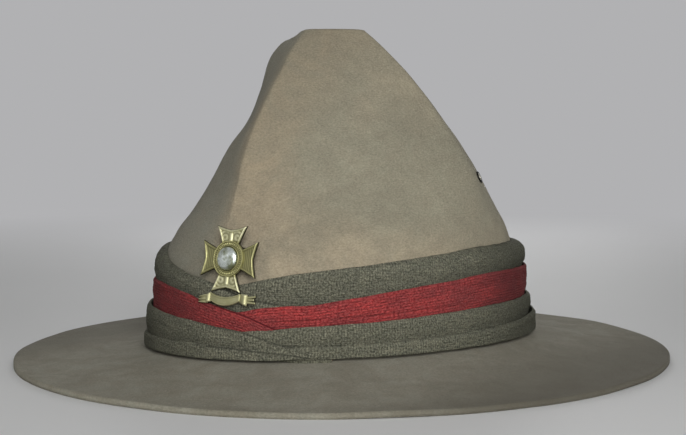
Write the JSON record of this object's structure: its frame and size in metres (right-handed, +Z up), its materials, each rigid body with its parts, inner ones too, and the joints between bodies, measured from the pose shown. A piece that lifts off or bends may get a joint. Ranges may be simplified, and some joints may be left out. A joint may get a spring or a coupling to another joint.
{
  "type": "lemon squeezer hat",
  "caption": "Felt campaign hat with a tall peaked crown of flat panels between ridges, a level round brim, a folded khaki and red puggaree, a brass cross badge and side eyelets.",
  "frame": {"origin": "centre of the rim's flat underside, on which the hat rests", "axes": "+Z up through the crown; the front of the hat with its badge faces -Y; the wearer's left is +X"},
  "size_m": [0.327, 0.345, 0.1663],
  "materials": {
    "felt": "brushed olive-tan hat felt, slightly mottled, matte",
    "khaki_wool": "coarse khaki wool cloth with light and dark flecks",
    "red_wool": "crimson wool cloth with fine lengthwise ribs",
    "badge_brass": "die-struck brass, satin, dull in the hollows",
    "boss_white_metal": "polished white metal boss",
    "eyelet_metal": "blackened brass, worn at the lip"
  },
  "bodies": {
    "root": {"felt_body": "felt", "puggaree_upper_fold": "khaki_wool", "puggaree_red_fold": "red_wool", "puggaree_lower_fold": "khaki_wool", "puggaree_bottom_fold": "khaki_wool", "badge_plate": "badge_brass", "badge_boss": "boss_white_metal", "badge_pin": "badge_brass", "eyelet_left": "eyelet_metal", "eyelet_right": "eyelet_metal"}
  },
  "joints": []
}
